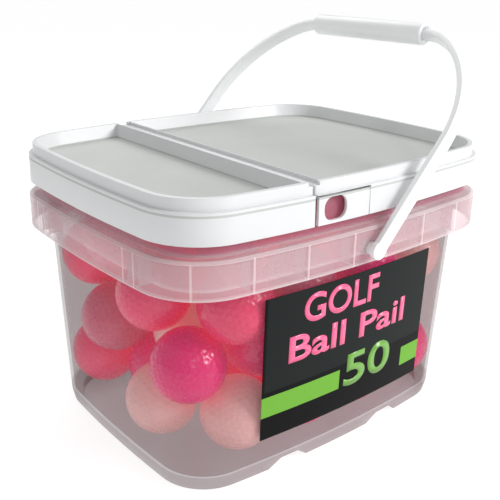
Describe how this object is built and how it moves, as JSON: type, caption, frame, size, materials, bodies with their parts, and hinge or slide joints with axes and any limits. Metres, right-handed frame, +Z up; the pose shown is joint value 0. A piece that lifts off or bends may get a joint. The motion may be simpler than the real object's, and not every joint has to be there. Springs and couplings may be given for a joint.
{
  "type": "golf ball pail",
  "caption": "Rectangular translucent pail of pink golf balls with a white folding lid, a tear tab and a bail handle with a turning grip.",
  "frame": {"origin": "centre of the footprint, on the surface the pail stands on", "axes": "+Z up, +X along the long side towards the large lid panel, -Y the long side with the label"},
  "size_m": [0.2422, 0.2078, 0.236],
  "materials": {
    "tub_plastic": "translucent natural polypropylene",
    "label_print": "printed film",
    "lid_plastic": "satin white polypropylene",
    "handle_plastic": "satin white plastic",
    "core_rubber": "moulded rubber",
    "ball_hot_pink": "glossy ionomer",
    "ball_coral": "glossy ionomer",
    "ball_pale_pink": "glossy ionomer",
    "ball_mauve": "glossy ionomer"
  },
  "bodies": {
    "pail": {"tub": "tub_plastic", "label": "label_print", "ball_01": "ball_hot_pink", "ball_02": "ball_coral", "ball_03": "ball_coral", "ball_04": "ball_pale_pink", "ball_05": "ball_pale_pink", "ball_06": "ball_mauve", "ball_07": "ball_coral", "ball_08": "ball_coral", "ball_09": "ball_hot_pink", "ball_10": "ball_pale_pink", "ball_11": "ball_coral", "ball_12": "ball_hot_pink", "ball_13": "ball_mauve", "ball_14": "ball_hot_pink", "ball_15": "ball_coral", "ball_16": "ball_hot_pink", "ball_17": "ball_pale_pink", "ball_18": "ball_coral", "ball_19": "ball_hot_pink", "ball_20": "ball_mauve", "ball_21": "ball_hot_pink", "ball_22": "ball_coral", "ball_23": "ball_hot_pink", "ball_24": "ball_pale_pink", "ball_25": "ball_coral", "ball_26": "ball_hot_pink", "ball_27": "ball_mauve", "ball_28": "ball_hot_pink", "ball_29": "ball_coral", "ball_30": "ball_hot_pink", "ball_31": "ball_pale_pink", "ball_32": "ball_coral", "ball_33": "ball_hot_pink", "ball_34": "ball_mauve", "ball_35": "ball_hot_pink", "ball_36": "ball_coral", "ball_37": "ball_hot_pink", "ball_38": "ball_pale_pink", "ball_39": "ball_coral", "ball_40": "ball_hot_pink", "ball_41": "ball_mauve", "ball_42": "ball_hot_pink", "ball_43": "ball_coral", "ball_44": "ball_hot_pink", "ball_45": "ball_pale_pink", "ball_46": "ball_coral", "ball_47": "ball_hot_pink", "ball_48": "ball_mauve", "ball_49": "ball_hot_pink", "ball_50": "ball_coral", "ball_cores": "core_rubber"},
    "lid": {"lid_large_panel": "lid_plastic", "lid_fold_strip": "lid_plastic"},
    "lid_small": {"lid_small_panel": "lid_plastic"},
    "tab": {"tear_tab": "lid_plastic"},
    "handle": {"bail": "handle_plastic"},
    "handle_grip": {"grip": "handle_plastic"}
  },
  "joints": [
    {"name": "lid_lift", "type": "slide", "parent": "pail", "child": "lid", "axis": [0, 0, 1], "range_m": [0, 0.025]},
    {"name": "lid_fold", "type": "hinge", "parent": "lid", "child": "lid_small", "pos_m": [-0.0394, 0, 0.1659], "axis": [0, 1, 0], "range_deg": [0, 105]},
    {"name": "tab_peel", "type": "hinge", "parent": "lid", "child": "tab", "pos_m": [-0.003, -0.0955, 0.153], "axis": [0, 0, 1], "range_deg": [0, 65]},
    {"name": "bail_swing", "type": "hinge", "parent": "pail", "child": "handle", "pos_m": [0, 0, 0.127], "axis": [0, 1, 0], "range_deg": [-132.4, 47.6]},
    {"name": "grip_spin", "type": "hinge", "parent": "handle", "child": "handle_grip", "pos_m": [0.09339, 0, 0.22928], "axis": [0, 1, 0], "continuous": true}
  ]
}
